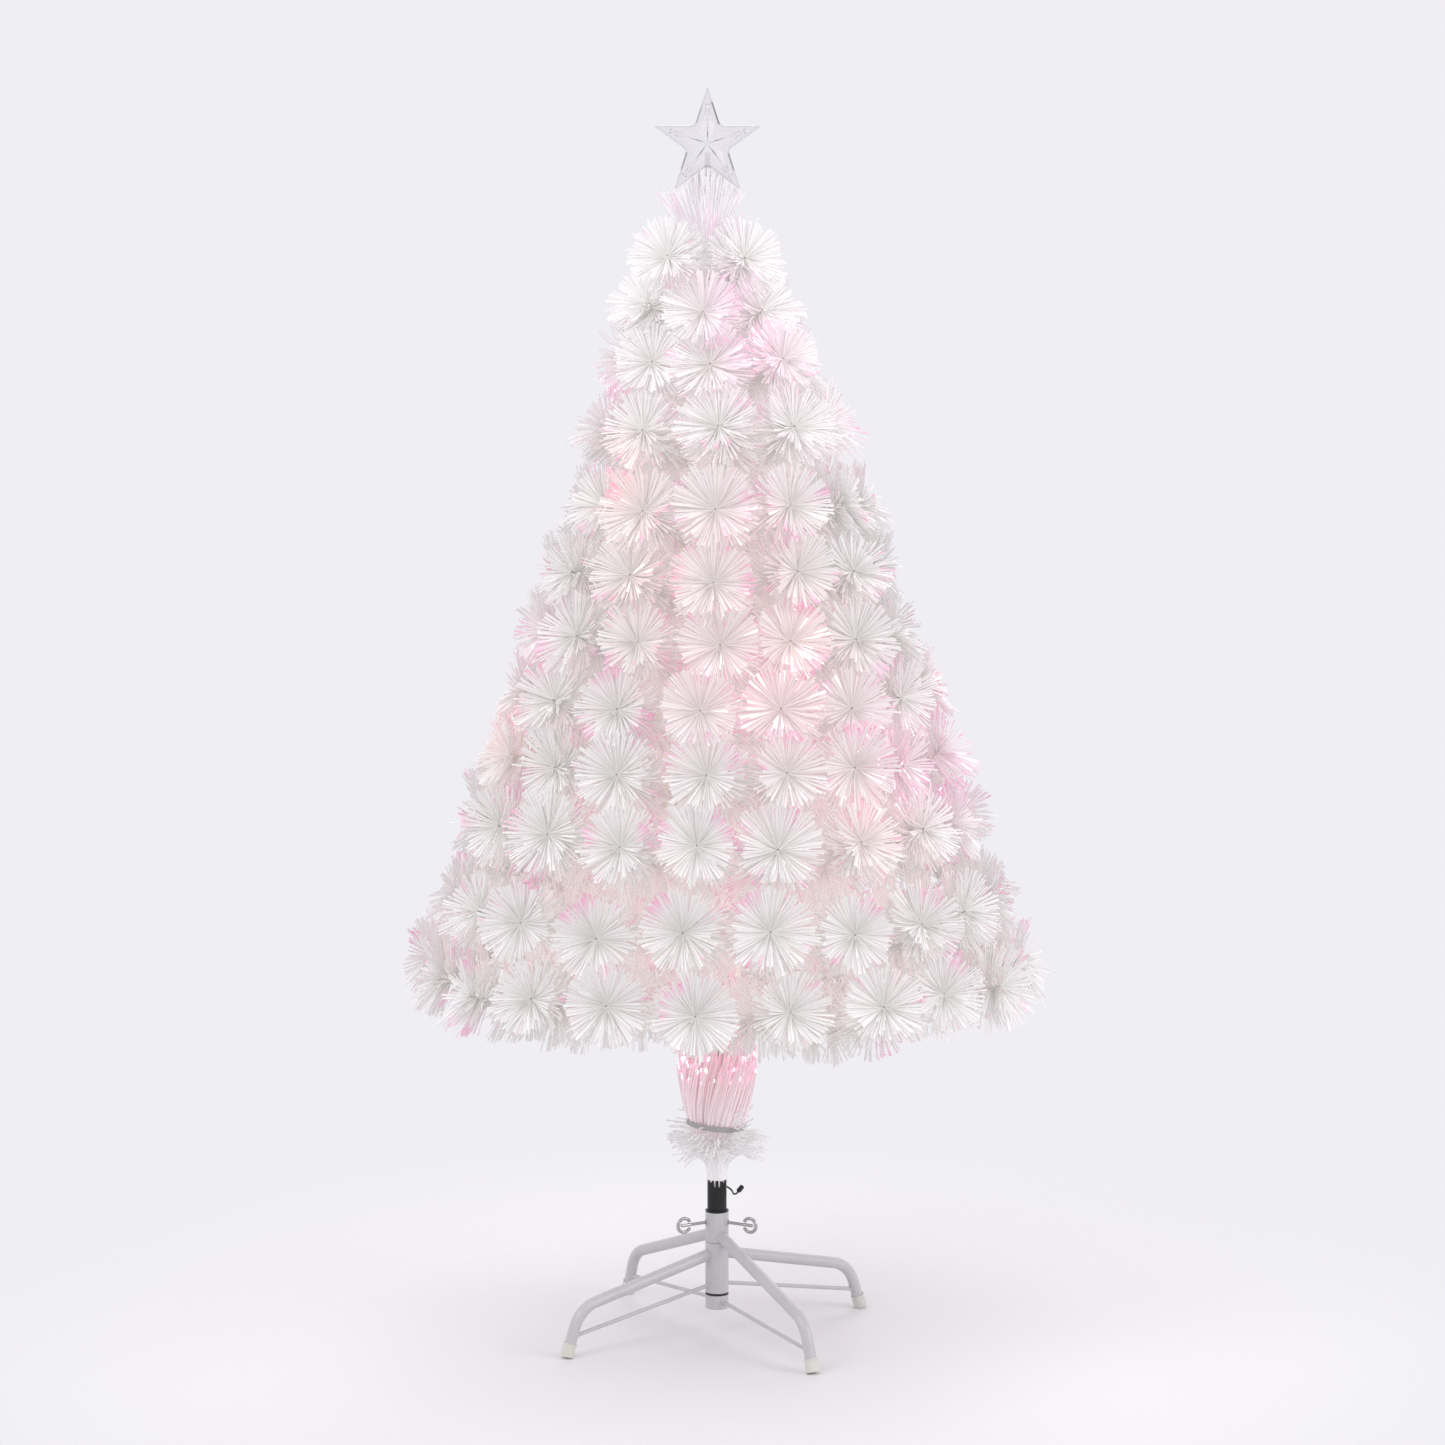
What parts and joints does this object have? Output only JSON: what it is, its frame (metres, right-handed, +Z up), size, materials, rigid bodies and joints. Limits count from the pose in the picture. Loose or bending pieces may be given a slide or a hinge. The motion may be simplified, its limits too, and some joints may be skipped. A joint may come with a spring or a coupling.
{
  "type": "fiber optic christmas tree",
  "caption": "White fibre optic tree: tiers of star-burst fibre tips on a wire trunk, a clear star on top, a black pole and a folding steel stand with thumbscrews.",
  "frame": {"origin": "the pole axis at floor level, under the middle of the tree", "axes": "+Z up along the pole; the front of the star and tree faces -Y; +X is to the right in the picture"},
  "size_m": [0.7516, 0.7516, 1.5],
  "materials": {
    "painted_steel": "satin",
    "chrome": "polished",
    "black_tube": "satin",
    "black_plastic": "satin",
    "foot_plastic": "satin",
    "light_board": "satin",
    "ferrule": "satin",
    "trunk_steel": "satin",
    "clear_fibre": "gloss",
    "lit_fibre": "gloss",
    "grey_tie": "matte",
    "clear_plastic": "gloss"
  },
  "bodies": {
    "stand": {"hub_upper_sleeve": "painted_steel", "hub_inner_tube": "painted_steel", "hub_bottom_collar": "painted_steel", "hub_washer": "black_plastic", "leg_front_right": "painted_steel", "brace_front_right": "painted_steel", "foot_cap_front_right": "foot_plastic", "leg_back_left": "painted_steel", "brace_back_left": "painted_steel", "foot_cap_back_left": "foot_plastic"},
    "folding_legs": {"hub_lower_sleeve": "painted_steel", "leg_back_right": "painted_steel", "brace_back_right": "painted_steel", "foot_cap_back_right": "foot_plastic", "leg_front_left": "painted_steel", "brace_front_left": "painted_steel", "foot_cap_front_left": "foot_plastic"},
    "bushing": {"pole_bushing": "black_plastic"},
    "tree": {"pole_tube": "black_tube", "light_module": "light_board", "bundle_ferrule": "ferrule", "lead_grommet": "black_plastic", "power_lead": "black_plastic", "lead_connector": "black_plastic", "base_brush": "clear_fibre", "fibre_bundle": "lit_fibre", "bundle_tie": "grey_tie", "branch_tier_01": "clear_fibre", "branch_tier_02": "clear_fibre", "branch_tier_03": "clear_fibre", "branch_tier_04": "clear_fibre", "branch_tier_05": "clear_fibre", "branch_tier_06": "clear_fibre", "branch_tier_07": "clear_fibre", "branch_tier_08": "clear_fibre", "branch_tier_09": "clear_fibre", "branch_tier_10": "clear_fibre", "branch_tier_11": "clear_fibre", "branch_tier_12": "clear_fibre", "trunk_rod": "trunk_steel", "top_plume": "clear_fibre"},
    "star": {"star_front": "clear_plastic", "star_back": "clear_plastic", "star_stem": "clear_plastic"},
    "screw_right": {"thumbscrew_shank_right": "chrome"},
    "eye_right": {"thumbscrew_eye_right": "chrome"},
    "screw_left": {"thumbscrew_shank_left": "chrome"},
    "eye_left": {"thumbscrew_eye_left": "chrome"},
    "screw_back": {"thumbscrew_shank_back": "chrome"},
    "eye_back": {"thumbscrew_eye_back": "chrome"}
  },
  "joints": [
    {"name": "stand_fold", "type": "hinge", "parent": "stand", "child": "folding_legs", "pos_m": [0, 0, 0.08], "axis": [0, 0, 1], "range_deg": [0, 84]},
    {"name": "tree_turn", "type": "hinge", "parent": "stand", "child": "bushing", "pos_m": [0, 0, 0.15], "axis": [0, 0, 1], "range_deg": [-180, 180]},
    {"name": "tree_lift", "type": "slide", "parent": "bushing", "child": "tree", "axis": [0, 0, 1], "range_m": [0, 0.12]},
    {"name": "star_lift", "type": "slide", "parent": "tree", "child": "star", "axis": [0, 0, 1], "range_m": [0, 0.06]},
    {"name": "screw_travel_right", "type": "slide", "parent": "stand", "child": "screw_right", "axis": [0.866, -0.5, 0], "range_m": [0, 0.0042]},
    {"name": "screw_turn_right", "type": "hinge", "parent": "screw_right", "child": "eye_right", "pos_m": [0, 0, 0.1388], "axis": [0.866, -0.5, 0], "range_deg": [0, 2160]},
    {"name": "screw_travel_left", "type": "slide", "parent": "stand", "child": "screw_left", "axis": [-0.866, -0.5, 0], "range_m": [0, 0.0042]},
    {"name": "screw_turn_left", "type": "hinge", "parent": "screw_left", "child": "eye_left", "pos_m": [0, 0, 0.1388], "axis": [-0.866, -0.5, 0], "range_deg": [0, 2160]},
    {"name": "screw_travel_back", "type": "slide", "parent": "stand", "child": "screw_back", "axis": [0, 1, 0], "range_m": [0, 0.0042]},
    {"name": "screw_turn_back", "type": "hinge", "parent": "screw_back", "child": "eye_back", "pos_m": [0, 0, 0.1388], "axis": [0, 1, 0], "range_deg": [0, 2160]}
  ],
  "couplings": [
    {"joint": "screw_travel_right", "follows": "screw_turn_right", "m_per_rad": 0.00011141},
    {"joint": "screw_travel_left", "follows": "screw_turn_left", "m_per_rad": 0.00011141},
    {"joint": "screw_travel_back", "follows": "screw_turn_back", "m_per_rad": 0.00011141}
  ]
}
